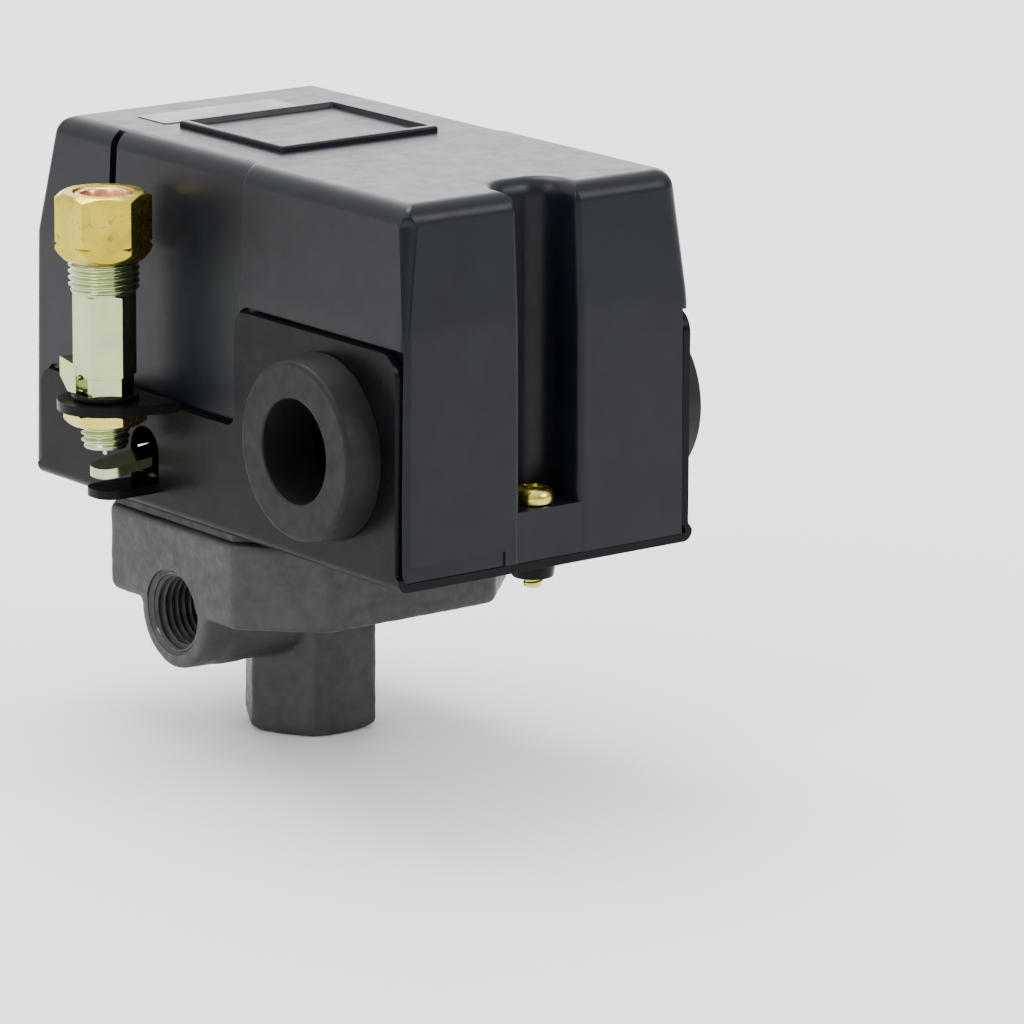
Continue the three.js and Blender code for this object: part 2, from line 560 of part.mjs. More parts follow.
// The moulding as a plan of rough size stretched to its section at each height, shrunk by inset.
function coverLoft(inset, cornerR, levels) {
  const halfX = 30;
  const halfY = 55;
  const corners = [[-1, -1], [1, -1], [1, 1], [-1, 1]].map(([x, y]) => [x * halfX, y * halfY, cornerR]);
  const steps = levels.length - 1;
  const settings = { depth: 1, steps, bevelEnabled: false, curveSegments: 4 };
  const geometry = new THREE.ExtrudeGeometry(rounded(corners), settings);
  const position = geometry.attributes.position;
  for (let i = 0; i < position.count; i += 1) {
    const level = levels[Math.round(position.getZ(i) * steps)];
    const { x, y0, y1 } = coverSection(level.z);
    const shrink = inset + level.shrink;
    const u = position.getX(i) / halfX;
    const v = position.getY(i) / halfY;
    position.setXYZ(i, u * (x - shrink), (y0 + y1) / 2 + v * ((y1 - y0) / 2 - shrink), level.z);
  }
  return solid(geometry);
}

function channelPrism(extra, z0, z1) {
  const r = CHANNEL_R + extra;
  const back = CHANNEL_BACK + extra;
  const corner = CHANNEL_CORNER + extra;
  return plate(rounded([[-r, -75, 0], [r, -75, 0], [r, back, corner], [-r, back, corner]]), z0, z1, 6);
}

// A window in a side wall that follows the steel panel, grown by the gap and sunk by drop.
function panelWindow(side, fromX, drop) {
  const grow = COVER_GAP - drop;
  const front = PANEL_FRONT + EASE;
  const rear = PANEL_REAR + EASE;
  const profile = rounded([
    [front, 30, 0], [rear, 30, 0], [rear, PANEL_LOW_Z + grow, 3], [PANEL_STEP_Y + grow, PANEL_LOW_Z + grow, 2.5],
    [PANEL_STEP_Y + grow, PANEL_HIGH_Z + grow, 3], [front, PANEL_HIGH_Z + grow, 0],
  ]);
  const [x0, x1] = [side * fromX, side * 40].sort((a, b) => a - b);
  return plateX(profile, x0, x1, 5);
}

function addCover() {
  const edge = 3.5; // radius of the rounded top edge
  const shoulders = [1, 2, 3].map((i) => {
    const angle = (i / 3) * (Math.PI / 2);
    return { z: COVER_TOP_Z - edge + edge * Math.sin(angle), shrink: edge * (1 - Math.cos(angle)) };
  });
  const outerLevels = [COVER_Z0, COVER_KINK_Z, COVER_TOP_Z - edge].map((z) => ({ z, shrink: 0 }));
  const outer = coverLoft(0, 2, outerLevels.concat(shoulders));
  const ceiling = COVER_TOP_Z - COVER_WALL;
  const innerLevels = [[COVER_Z0 - 5, 0], [COVER_KINK_Z, 0], [ceiling - 2, 0], [ceiling, 2]];
  const inner = coverLoft(COVER_WALL, 1, innerLevels.map(([z, shrink]) => ({ z, shrink })));
  const pocket = cut(inner, channelPrism(1.8, LEDGE_Z - 2, COVER_TOP_Z + 10));
  const openings = [channelPrism(0, LEDGE_Z, COVER_TOP_Z + 10), post(1.8 + EASE, 40, 60, 0, -66, 12)];
  for (const side of [-1, 1]) {
    const inFront = PANEL_IN - EASE;
    const [x0, x1] = [side * inFront, side * 40].sort((a, b) => a - b);
    const [g0, g1] = [side * 28.2, side * 40].sort((a, b) => a - b);
    openings.push(panelWindow(side, 27, 3)); // leaves a lip of 3 mm behind the panel
    openings.push(panelWindow(side, inFront, 0));
    const [e0, e1] = [side * PANEL_EDGE, side * 40].sort((a, b) => a - b);
    openings.push(box(x0, x1, PANEL_FRONT - 0.4, PANEL_FRONT + 2 * EASE, 30, PANEL_HIGH_Z + COVER_GAP));
    openings.push(box(e0, e1, -80, PANEL_FRONT, 30, PANEL_HIGH_Z + COVER_GAP));
    openings.push(box(g0, g1, 18, 20.4, 98, 120));
  }
  const label = cut(box(-17.8, 16.8, -16.5, 15.5, COVER_TOP_Z - 0.5, COVER_TOP_Z + 1.2),
    box(-16.5, 15.5, -15.2, 14.2, COVER_TOP_Z + 0.4, COVER_TOP_Z + 5));
  add("cover", union(cut(outer, pocket, ...openings), label), "blackPlastic");
  add("cover_screw", panScrew(3.6, 2.9, 1.8, 14.5), "yellowZinc", 0, -66, LEDGE_Z + TOUCH);
  const sticker = rounded([[-18.5, 18.4, 0.8], [11.5, 18.4, 0.8], [11.5, 27.7, 0.8], [-18.5, 27.7, 0.8]]);
  add("rating_sticker", plate(sticker, COVER_TOP_Z + 0.05, COVER_TOP_Z + 0.3, 2), "greySticker");
}

buildManifold();
buildDiaphragm();
buildBaseFrame();
buildFasteners();
buildGrommets();
buildContacts();
buildLever();
buildAdjuster("range", RANGE, 11, 10, 1.5);
buildAdjuster("differential", DIFF, 5.8, 7, 1.2);
buildUnloader();
addCover();

export default group;
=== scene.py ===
import math

import bmesh
import bpy
from mathutils import Matrix, Vector, noise


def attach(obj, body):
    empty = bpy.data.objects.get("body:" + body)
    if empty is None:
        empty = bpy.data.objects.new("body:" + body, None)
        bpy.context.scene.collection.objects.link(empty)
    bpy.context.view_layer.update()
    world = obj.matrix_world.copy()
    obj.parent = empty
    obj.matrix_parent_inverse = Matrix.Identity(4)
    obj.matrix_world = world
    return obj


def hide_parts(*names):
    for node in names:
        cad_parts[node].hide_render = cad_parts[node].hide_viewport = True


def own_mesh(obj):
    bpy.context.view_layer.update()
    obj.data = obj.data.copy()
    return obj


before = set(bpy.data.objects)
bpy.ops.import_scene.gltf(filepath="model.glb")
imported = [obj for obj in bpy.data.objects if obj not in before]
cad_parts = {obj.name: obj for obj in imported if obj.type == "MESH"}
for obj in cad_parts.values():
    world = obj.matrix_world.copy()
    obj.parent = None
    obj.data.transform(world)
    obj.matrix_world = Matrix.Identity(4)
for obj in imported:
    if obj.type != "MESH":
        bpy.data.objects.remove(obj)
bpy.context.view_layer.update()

MM = 0.001
TAU = 2 * math.pi

# ---- shared dimensions, in millimetres in the part's frame ------------------------------------
PANEL_OUT, PANEL_IN = 32.3, 30.7
PANEL_FRONT, PANEL_REAR, PANEL_STEP = -69.2, 39.2, -22.0
PANEL_LOW, PANEL_HIGH = 63.6, 84.6
FLOOR_0, FLOOR_1 = 43.2, 44.8
FLANGE_0, FLANGE_1 = 25.4, 41.5
COVER_0, COVER_TOP = 45.0, 110.0
TOP_EDGE = 3.4
CHANNEL_HALF, CHANNEL_BACK, CHANNEL_CORNER = 6.4, -60.2, 4.5
LEDGE = 54.0
GROMMET_Y, GROMMET_Z = -49.0, 65.2
VALVE = (-40.6, 6.0)
PIVOT_X, PIVOT_Z = 24.0, 55.1
PORT_Z = 25.0
SCREW_Y = -66.0
FLANGE_HOLE = 20.5
RANGE_AT, DIFFERENTIAL_AT = (6, -19), (6, 19.5)
RIM_STEP = 0.7


# ---- mesh building --------------------------------------------------------------------------
def build(name, verts, faces):
    """A new object from vertices in millimetres, with its faces turned outwards."""
    mesh = bpy.data.meshes.new(name)
    mesh.from_pydata([[c * MM for c in v] for v in verts], [], faces)
    bm = bmesh.new()
    bm.from_mesh(mesh)
    bmesh.ops.remove_doubles(bm, verts=bm.verts, dist=2e-6)
    bmesh.ops.dissolve_degenerate(bm, dist=1e-7, edges=bm.edges)
    bmesh.ops.recalc_face_normals(bm, faces=bm.faces)
    bm.to_mesh(mesh)
    bm.free()
    obj = bpy.data.objects.new(name, mesh)
    bpy.context.scene.collection.objects.link(obj)
    return obj


def outline(corners, steps=6):
    """A polygon whose corners (u, v, radius) are true arcs; each corner gives steps + 1 points."""
    points = []
    for i, (u, v, r) in enumerate(corners):
        here = Vector((u, v))
        back = (Vector(corners[i - 1][:2]) - here).normalized()
        ahead = (Vector(corners[(i + 1) % len(corners)][:2]) - here).normalized()
        half = math.acos(max(-1.0, min(1.0, back.dot(ahead)))) / 2
        if r < 1e-4 or half > math.pi / 2 - 1e-3:
            points += [here.copy() for _ in range(steps + 1)]
            continue
        centre = here + (back + ahead).normalized() * (r / math.sin(half))
        first = here + back * (r / math.tan(half)) - centre
        last = here + ahead * (r / math.tan(half)) - centre
        turn = math.atan2(first.x * last.y - first.y * last.x, first.dot(last))
        for k in range(steps + 1):
            c, s = math.cos(turn * k / steps), math.sin(turn * k / steps)
            points.append(centre + Vector((c * first.x - s * first.y, s * first.x + c * first.y)))
    return points


def loft(name, rings):
    """A closed body through rings of equally many 3-D points."""
    count = len(rings[0])
    verts = [tuple(p) for ring in rings for p in ring]
    faces = [tuple(range(count)), tuple(range(len(verts) - count, len(verts)))]
    for level in range(len(rings) - 1):
        a = level * count
        for i in range(count):
            j = (i + 1) % count
            faces.append((a + i, a + j, a + count + j, a + count + i))
    return build(name, verts, faces)


def tube(name, rings):
    """A closed body through rings of equally many 3-D points, the last ring joined to the first."""
    count = len(rings[0])
    faces = []
    for level in range(len(rings)):
        a, b = level * count, ((level + 1) % len(rings)) * count
        for i in range(count):
            j = (i + 1) % count
            faces.append((a + i, a + j, b + j, b + i))
    return build(name, [p for ring in rings for p in ring], faces)


def prism(name, points, lo, hi, axis="z"):
    """A flat outline pulled out between two positions on an axis."""
    place = {"x": lambda u, v, w: (w, u, v),
             "y": lambda u, v, w: (u, w, v),
             "z": lambda u, v, w: (u, v, w)}[axis]
    return loft(name, [[place(p[0], p[1], w) for p in points] for w in (lo, hi)])


def block(name, x0, x1, y0, y1, z0, z1):
    return prism(name, [(x0, y0), (x1, y0), (x1, y1), (x0, y1)], z0, z1)


def lathe(name, profile, sides=72, at=(0, 0, 0), axis="z", closed=False):
    """A body of revolution from (radius, height) pairs; closed joins the last pair to the first."""
    rings = [[(r * math.cos(TAU * i / sides), r * math.sin(TAU * i / sides), h) for i in range(sides)]
             for r, h in profile]
    obj = tube(name, rings) if closed else loft(name, rings)
    turned = {"z": Matrix.Identity(4), "x": Matrix.Rotation(math.pi / 2, 4, "Y"),
              "-x": Matrix.Rotation(-math.pi / 2, 4, "Y"), "y": Matrix.Rotation(-math.pi / 2, 4, "X")}[axis]
    obj.data.transform(Matrix.Translation(Vector(at) * MM) @ turned)
    return obj


def arc(cx, cy, r, a0, a1, steps=6):
    """Points of an arc between two angles in degrees."""
    return [(cx + r * math.cos(math.radians(a0 + (a1 - a0) * k / steps)),
             cy + r * math.sin(math.radians(a0 + (a1 - a0) * k / steps))) for k in range(steps + 1)]


def hexagon(af, turn=0.0):
    r = af / math.sqrt(3)
    return [(r * math.cos(turn + TAU * i / 6), r * math.sin(turn + TAU * i / 6)) for i in range(6)]


def bake(obj):
    """Applies the object's modifiers to its mesh."""
    graph = bpy.context.evaluated_depsgraph_get()
    old, obj.data = obj.data, bpy.data.meshes.new_from_object(obj.evaluated_get(graph))
    obj.modifiers.clear()
    bpy.data.meshes.remove(old)
    return obj


def combine(target, tools, operation="DIFFERENCE"):
    for tool in tools:
        modifier = target.modifiers.new("combine", "BOOLEAN")
        modifier.solver = "EXACT"
        modifier.operation = operation
        modifier.object = tool
        bake(target)
        bpy.data.objects.remove(tool)
    return target


def cut(target, *tools):
    return combine(target, tools)


def fuse(target, *tools):
    return combine(target, tools, "UNION")


def common(target, tool):
    return combine(target, [tool], "INTERSECT")


def shift(obj, x=0.0, y=0.0, z=0.0):
    obj.data.transform(Matrix.Translation(Vector((x, y, z)) * MM))
    return obj


def join(target, *others):
    """Adds other bodies to a mesh as they are."""
    bm = bmesh.new()
    bm.from_mesh(target.data)
    for other in others:
        bm.from_mesh(other.data)
        bpy.data.objects.remove(other)
    bm.to_mesh(target.data)
    bm.free()
    return target


def clean(obj):
    bm = bmesh.new()
    bm.from_mesh(obj.data)
    bmesh.ops.remove_doubles(bm, verts=bm.verts, dist=2e-6)
    bmesh.ops.dissolve_limit(bm, angle_limit=math.radians(0.6), verts=bm.verts, edges=bm.edges)
    bm.to_mesh(obj.data)
    bm.free()
    return obj


def shade_smooth(obj):
    for polygon in obj.data.polygons:
        polygon.use_smooth = True


def soften(obj, width=0.2, segments=2, angle=35, sharp=38):
    """Rounds the edges sharper than an angle and shades the rest smooth; width 0 only shades."""
    if width:
        clean(obj)
        bevel = obj.modifiers.new("edges", "BEVEL")
        bevel.width = width * MM
        bevel.segments = segments
        bevel.limit_method = "ANGLE"
        bevel.angle_limit = math.radians(angle)
        bevel.miter_outer = "MITER_ARC"
        bake(obj)
    shade_smooth(obj)
    obj.data.set_sharp_from_angle(angle=math.radians(sharp))
    weighted = obj.modifiers.new("normals", "WEIGHTED_NORMAL")
    weighted.keep_sharp = True
    return obj


END_TURN = 0.8  # part of a turn that lies closed at each end of a spring


def coil(name, radius, wire, z0, z1, turns, at=(0, 0), sides=12, steps=26):
    """A compression spring with a closed coil at each end."""
    total = int(turns * steps)
    path = []
    for k in range(total + 1):
        t = turns * k / total
        open_part = max(0.0, min(1.0, (t - END_TURN) / (turns - 2 * END_TURN)))
        end_rise = wire * (min(t, END_TURN) / END_TURN + max(0.0, t - turns + END_TURN) / END_TURN)
        open_rise = max(z1 - z0 - 4 * wire, 0.0)
        z = z0 + wire + end_rise + open_rise * open_part
        path.append(Vector((at[0] + radius * math.cos(TAU * t), at[1] + radius * math.sin(TAU * t), z)))
    top = path[-1].z
    for point in path:
        point.z = z0 + wire + (point.z - z0 - wire) * (z1 - z0 - 2 * wire) / (top - z0 - wire)
    rings = []
    for k, point in enumerate(path):
        ahead = path[min(k + 1, total)] - path[max(k - 1, 0)]
        ahead.normalize()
        out = Vector((point.x - at[0], point.y - at[1], 0)).normalized()
        up = ahead.cross(out).normalized()
        out = up.cross(ahead)
        rings.append([point + wire * (math.cos(TAU * i / sides) * out + math.sin(TAU * i / sides) * up)
                      for i in range(sides)])
    return loft(name, rings)


def threaded(name, major, depth, pitch, z0, z1, at=(0, 0, 0), inner=None, around=56, per_pitch=8):
    """A threaded rod, or with inner given a threaded sleeve of that outer radius."""
    levels = int((z1 - z0) / pitch * per_pitch)
    rings = []
    for k in range(levels + 1):
        z = z0 + (z1 - z0) * k / levels
        fade = min(1.0, min(z - z0, z1 - z) / (0.9 * pitch))
        ring = []
        for i in range(around):
            phase = (z / pitch - i / around) % 1.0
            crest = min(1.0, max(0.0, 1.25 - abs(2 * phase - 1) * 1.75))
            crest = crest * crest * (3 - 2 * crest)
            if inner is None:
                r = major - depth + depth * crest * fade
            else:
                r = major - depth * crest * fade
            ring.append((r * math.cos(TAU * i / around), r * math.sin(TAU * i / around), z))
        rings.append(ring)
    if inner is None:
        obj = loft(name, rings)
    else:
        wall = [[(inner * math.cos(TAU * i / around), inner * math.sin(TAU * i / around), z)
                 for i in range(around)] for z in (z1, z0)]
        obj = tube(name, rings + wall)
    return shift(obj, *at)


def pan_screw(name, head_r, head_h, shank_r, length, at, down=False, cross=True):
    """A pan-head screw with a cross recess; at is the centre of the seat under its head."""
    dome = [(head_r, 0.25), (head_r, 0.42 * head_h)]
    dome += arc(head_r * 0.45, 0.42 * head_h, head_r * 0.55, 0, 80, 6)
    scale = head_h / max(h for _, h in dome)
    dome = [(r, h * scale if h > 0.3 else h) for r, h in dome]
    head = lathe(name, [(0.01, 0), (head_r - 0.2, 0)] + dome + [(0.01, head_h)], 48)
    if cross:
        reach, thick = 0.56 * head_r, 0.13 * head_r
        signs = ((-1, -1), (1, -1), (1, 1), (-1, 1))
        for turn in (0, math.pi / 2):
            slot = loft("slot", [
                [(reach * 0.35 * s, thick * 0.6 * t, head_h * 0.25) for s, t in signs],
                [(reach * s, thick * t, head_h + 0.1) for s, t in signs]])
            slot.data.transform(Matrix.Rotation(turn + 0.4, 4, "Z"))
            cut(head, slot)
    soften(head, 0.08, 1, 50)
    bake(head)
    shank = threaded("shank", shank_r, 0.16 * shank_r, 0.5 * shank_r, -length, 0.2, around=28, per_pitch=6)
    shade_smooth(shank)
    join(head, shank)
    if down:
        head.data.transform(Matrix.Rotation(math.pi, 4, "X"))
    return shift(head, *at)


# ---- materials --------------------------------------------------------------------------------
def material(name, dark, light, metal=0.0, rough=(0.35, 0.5), grain=900.0, bump=0.1, bump_scale=2500.0,
             bump_height=0.02, wear=None, wear_from=0.56, spots=None, spot_scale=220.0, specular=0.5):
    """A procedural finish: clouded colour, uneven gloss, fine relief, worn edges and spots."""
    made = bpy.data.materials.new(name)
    made.use_nodes = True
    nodes, links = made.node_tree.nodes, made.node_tree.links
    shader = nodes["Principled BSDF"]
    shader.inputs["Metallic"].default_value = metal
    shader.inputs["Specular IOR Level"].default_value = specular
    place = nodes.new("ShaderNodeTexCoord")

    def cloud(scale, detail=4.0, distortion=0.0):
        texture = nodes.new("ShaderNodeTexNoise")
        texture.inputs["Scale"].default_value = scale
        texture.inputs["Detail"].default_value = detail
        texture.inputs["Distortion"].default_value = distortion
        links.new(place.outputs["Object"], texture.inputs["Vector"])
        return texture.outputs["Fac"]

    def ramp(source, stops):
        node = nodes.new("ShaderNodeValToRGB")
        node.color_ramp.elements[0].position = stops[0][0]
        node.color_ramp.elements[0].color = (*stops[0][1], 1)
        node.color_ramp.elements[1].position = stops[-1][0]
        node.color_ramp.elements[1].color = (*stops[-1][1], 1)
        for position, colour in stops[1:-1]:
            node.color_ramp.elements.new(position).color = (*colour, 1)
        links.new(source, node.inputs["Fac"])
        return node.outputs["Color"]

    def blended(factor, below, above):
        node = nodes.new("ShaderNodeMix")
        node.data_type = "RGBA"
        links.new(factor, node.inputs["Factor"])
        links.new(below, node.inputs["A"])
        if isinstance(above, tuple):
            node.inputs["B"].default_value = (*above, 1)
        else:
            links.new(above, node.inputs["B"])
        return node.outputs["Result"]

    colour = ramp(cloud(grain * 0.12, 5.0, 0.4), [(0.32, dark), (0.68, light)])
    if spots:
        mask = ramp(cloud(spot_scale, 3.0, 0.8), [(0.60, (0, 0, 0)), (0.72, (1, 1, 1))])
        colour = blended(mask, colour, spots)
    if wear:
        geometry = nodes.new("ShaderNodeNewGeometry")
        edge = ramp(geometry.outputs["Pointiness"], [(wear_from, (0, 0, 0)), (wear_from + 0.08, (1, 1, 1))])
        breakup = ramp(cloud(700.0, 3.0), [(0.42, (0, 0, 0)), (0.62, (1, 1, 1))])
        both = nodes.new("ShaderNodeMath")
        both.operation = "MULTIPLY"
        links.new(edge, both.inputs[0])
        links.new(breakup, both.inputs[1])
        colour = blended(both.outputs["Value"], colour, wear)
    links.new(colour, shader.inputs["Base Color"])
    gloss = nodes.new("ShaderNodeMapRange")
    gloss.inputs["From Min"].default_value = 0.3
    gloss.inputs["From Max"].default_value = 0.7
    gloss.inputs["To Min"].default_value = rough[0]
    gloss.inputs["To Max"].default_value = rough[1]
    links.new(cloud(grain * 0.4, 4.0), gloss.inputs["Value"])
    links.new(gloss.outputs["Result"], shader.inputs["Roughness"])
    relief = nodes.new("ShaderNodeBump")
    relief.inputs["Strength"].default_value = bump
    relief.inputs["Distance"].default_value = bump_height * MM
    links.new(cloud(bump_scale, 3.0), relief.inputs["Height"])
    links.new(relief.outputs["Normal"], shader.inputs["Normal"])
    return made


FINISH = {
    "cover_plastic": material("cover_plastic", (0.0028, 0.0040, 0.0074), (0.0046, 0.0064, 0.0108),
                              rough=(0.32, 0.40), bump=0.35, bump_scale=3200, specular=0.22),
    "black_steel": material("black_steel", (0.0022, 0.0026, 0.0034), (0.0040, 0.0046, 0.0058),
                            rough=(0.26, 0.36), bump=0.4, bump_scale=1400, bump_height=0.03, specular=0.09),
    "cast_manifold": material("cast_manifold", (0.027, 0.025, 0.028), (0.040, 0.038, 0.043), metal=0.3,
                              rough=(0.42, 0.62), grain=1500, bump=0.8, bump_scale=1100, bump_height=0.09,
                              wear=(0.30, 0.29, 0.28), wear_from=0.58,
                              spots=(0.042, 0.034, 0.033), spot_scale=260),
    "grommet_rubber": material("grommet_rubber", (0.0030, 0.0032, 0.0040), (0.0058, 0.0060, 0.0070),
                               rough=(0.50, 0.66), bump=0.4, bump_scale=1800, specular=0.24),
    "diaphragm_rubber": material("diaphragm_rubber", (0.012, 0.012, 0.012), (0.02, 0.02, 0.02),
                                 rough=(0.6, 0.8)),
    "pale_zinc": material("pale_zinc", (0.36, 0.46, 0.27), (0.54, 0.56, 0.25), metal=1.0, rough=(0.10, 0.22),
                          grain=1100, bump=0.35, bump_scale=1500, spots=(0.50, 0.66, 0.56), spot_scale=120),
    "yellow_zinc": material("yellow_zinc", (0.58, 0.49, 0.09), (0.74, 0.66, 0.15), metal=1.0,
                            rough=(0.18, 0.32), grain=1500, bump=0.25, bump_scale=1500,
                            spots=(0.70, 0.40, 0.14), spot_scale=160),
    "brass": material("brass", (0.46, 0.37, 0.025), (0.62, 0.50, 0.05), metal=1.0,
                      rough=(0.22, 0.36), grain=1200, bump=0.35, bump_scale=1300,
                      spots=(0.32, 0.21, 0.05), spot_scale=700),
    "copper": material("copper", (0.80, 0.30, 0.14), (0.92, 0.45, 0.25), metal=1.0,
                       rough=(0.2, 0.34), grain=1500),
    "steel": material("steel", (0.50, 0.50, 0.50), (0.62, 0.62, 0.62), metal=1.0,
                      rough=(0.25, 0.4), bump=0.2),
    "spring_steel": material("spring_steel", (0.30, 0.31, 0.33), (0.42, 0.43, 0.45), metal=1.0,
                             rough=(0.28, 0.42)),
    "phenolic": material("phenolic", (0.018, 0.016, 0.015), (0.030, 0.027, 0.025),
                         rough=(0.42, 0.58), bump=0.3),
    "ivory_nylon": material("ivory_nylon", (0.62, 0.57, 0.44), (0.70, 0.66, 0.53), rough=(0.4, 0.52)),
    "green_zinc": material("green_zinc", (0.10, 0.30, 0.11), (0.17, 0.40, 0.16), metal=0.85,
                           rough=(0.25, 0.4)),
    "grey_label": material("grey_label", (0.06, 0.066, 0.07), (0.13, 0.14, 0.145),
                           rough=(0.30, 0.42), grain=300),
}


def finish_piece(obj, slot, body="housing", replaces=()):
    obj.data.materials.clear()
    obj.data.materials.append(FINISH[slot])
    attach(obj, body)
    if replaces:
        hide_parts(*([replaces] if isinstance(replaces, str) else replaces))
    return obj


def refine(node, slot, body="housing", width=0.2, segments=2):
    """A CAD node's shape with its edges rounded."""
    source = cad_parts[node]
    obj = bpy.data.objects.new(node + "_fine", source.data.copy())
    bpy.context.scene.collection.objects.link(obj)
    obj.data.transform(source.matrix_world)
    soften(obj, width, segments)
    return finish_piece(obj, slot, body, node)


# ---- cover --------------------------------------------------------------------------------------
def cover_section(z):
    """Half width, front and rear of the moulding at a height."""
    levels = ((35.0, 31.5, -71.0, 44.1), (88.0, 31.1, -70.5, 43.4), (110.0, 29.8, -69.2, 38.3))
    a, b = levels[:2] if z <= levels[1][0] else levels[1:]
    t = (z - a[0]) / (b[0] - a[0])
    return [a[i] + t * (b[i] - a[i]) for i in (1, 2, 3)]


def cover_ring(z, inset, channel_inset=None):
    x, front, rear = cover_section(z)
    grown = 0.7 * inset if channel_inset is None else channel_inset
    x, front, rear = x - inset, front + inset, rear - inset
    c, back = CHANNEL_HALF + grown, CHANNEL_BACK + grown
    near, far = max(1.6 - inset, 0.7), max(1.8 - inset, 0.7)
    swelling = 1.6 + 2.6 * max(0.0, min(1.0, (z - 86) / 20))
    mouth = max(1.2 - inset, 0.0)
    inner = CHANNEL_CORNER + grown
    side = -21.5
    corners = [(-x, front, near), (-c, front, mouth), (-c, back, inner), (c, back, inner), (c, front, mouth),
               (x, front, max(swelling - inset, 0.0)), (x, side - 0.5, 0.45),
               (x - RIM_STEP, side + 0.3, 0.45),
               (x - RIM_STEP, rear, far), (-x + RIM_STEP, rear, far), (-x + RIM_STEP, side + 0.3, 0.45),
               (-x, side - 0.5, 0.45)]
    return [(p.x, p.y, z) for p in outline(corners, 6)]


def panel_window(name, grow, lo, hi):
    front = PANEL_FRONT + 0.3
    corners = [(front, 30, 0), (PANEL_REAR + 0.5, 30, 0), (PANEL_REAR + 0.5, PANEL_LOW + grow, 3.2),
               (PANEL_STEP + grow, PANEL_LOW + grow, 2.2), (PANEL_STEP + grow, PANEL_HIGH + grow, 3.4),
               (front, PANEL_HIGH + grow, 0)]
    return prism(name, outline(corners, 6), lo, hi, "x")


def make_cover():
    steps = 8
    edge = [(COVER_TOP - TOP_EDGE + TOP_EDGE * math.sin(math.pi / 2 * k / steps),
             TOP_EDGE * (1 - math.cos(math.pi / 2 * k / steps))) for k in range(steps + 1)]
    levels = [(COVER_0, 0), (60, 0), (74, 0), (86.5, 0), (88, 0.03), (89.5, 0), (98, 0)] + edge
    shell = loft("cover_shell", [cover_ring(z, d) for z, d in levels])
    hollow = [(COVER_0 - 3, 2), (88, 2), (COVER_TOP - 4, 2), (COVER_TOP - 2, 3.5)]
    cut(shell, loft("hollow", [cover_ring(z, d, 1.8) for z, d in hollow]))
    front = cover_section(50)[1] + 0.12
    ledge_outline = outline([(-7.2, front, 0.3), (7.2, front, 0.3), (7.2, CHANNEL_BACK + 1, 4.5),
                             (-7.2, CHANNEL_BACK + 1, 4.5)], 4)
    fuse(shell, prism("ledge", ledge_outline, 51.6, LEDGE))
    fuse(shell, block("skirt", -7.2, 7.2, front, front + 1.9, COVER_0 + 0.02, LEDGE - 0.2))
    cut(shell, lathe("screw_hole", [(2.1, 48), (2.1, 58)], 32, (0, SCREW_Y, 0)))
    for side in (-1, 1):
        cut(shell, panel_window("window", 0.7, *sorted((side * 29.9, side * 40))))
        cut(shell, panel_window("opening", -1.6, *sorted((side * 26, side * 40))))
        cut(shell, block("front_gap", *sorted((side * 30.0, side * 40)), PANEL_FRONT - 0.5, PANEL_FRONT + 0.9,
                         30, PANEL_HIGH + 0.7))
        limit = 31.2 if side < 0 else 29.4
        cut(shell, block("side_gap", *sorted((side * limit, side * 40)), -80, PANEL_FRONT + 0.3,
                         30, PANEL_HIGH + 0.7))
        groove = [(side * 40, 97), (side * 28.1, 97), (side * 27.0, 112), (side * 40, 112)]
        cut(shell, prism("groove", groove, 18.2, 20.2, "y"))
    flute_low, flute_high, low_r, high_r, dome = 84, 106, 0.3, 2.15, 2.5
    x_top, front_top, _ = cover_section(flute_high)
    x_low, front_low, _ = cover_section(flute_low)
    rings = [(low_r + (high_r - low_r) * k / 12, flute_low + (flute_high - flute_low) * k / 12, k / 12)
             for k in range(13)]
    rings += [(max(high_r * math.cos(a), 0.03), flute_high + dome * math.sin(a), 1)
              for a in (math.pi / 2 * k / 6 for k in range(1, 7))]
    flute_sides, inward = 28, 0.1
    flute = [[(-x_low - (x_top - x_low) * t + inward + r * math.cos(TAU * i / flute_sides),
               front_low + (front_top - front_low) * t + inward + r * math.sin(TAU * i / flute_sides), z)
              for i in range(flute_sides)] for r, z, t in rings]
    cut(shell, loft("flute", flute), block("strip", -30.9, -9.8, front - 1.5, front + 0.2, 44.9, 47.6))
    plaque_levels = [(COVER_TOP - 1, 0), (110.75, 0), (111.0, 0.12), (111.15, 0.4)]
    plaque = loft("plaque", [[(p.x, p.y, z) for p in outline(
        [(-17.8 + d, -16.5 + d, 0.7), (16.8 - d, -16.5 + d, 0.7), (16.8 - d, 15.5 - d, 0.7),
         (-17.8 + d, 15.5 - d, 0.7)], 4)] for z, d in plaque_levels])
    field = loft("field", [[(p.x, p.y, z) for p in outline(
        [(-16.2 - d, -14.9 - d, 0.5), (15.2 + d, -14.9 - d, 0.5), (15.2 + d, 13.9 + d, 0.5),
         (-16.2 - d, 13.9 + d, 0.5)], 4)] for z, d in ((110.2, 0), (111.4, 0.4))])
    fuse(shell, cut(plaque, field))
    soften(shell, 0.14, 2, 42)
    finish_piece(shell, "cover_plastic", "cover", "cover")
    sticker = prism("sticker", outline([(-18.5, 18.4, 0.8), (11.5, 18.4, 0.8), (11.5, 27.7, 0.8),
                                        (-18.5, 27.7, 0.8)], 5), COVER_TOP + 0.01, COVER_TOP + 0.16)
    finish_piece(soften(sticker, 0.04, 1), "grey_label", "cover", "rating_sticker")
    screw = pan_screw("cover_fixing", 3.6, 2.9, 1.8, 15.0, (0, SCREW_Y, LEDGE + 0.05))
    finish_piece(screw, "yellow_zinc", "cover", "cover_screw")


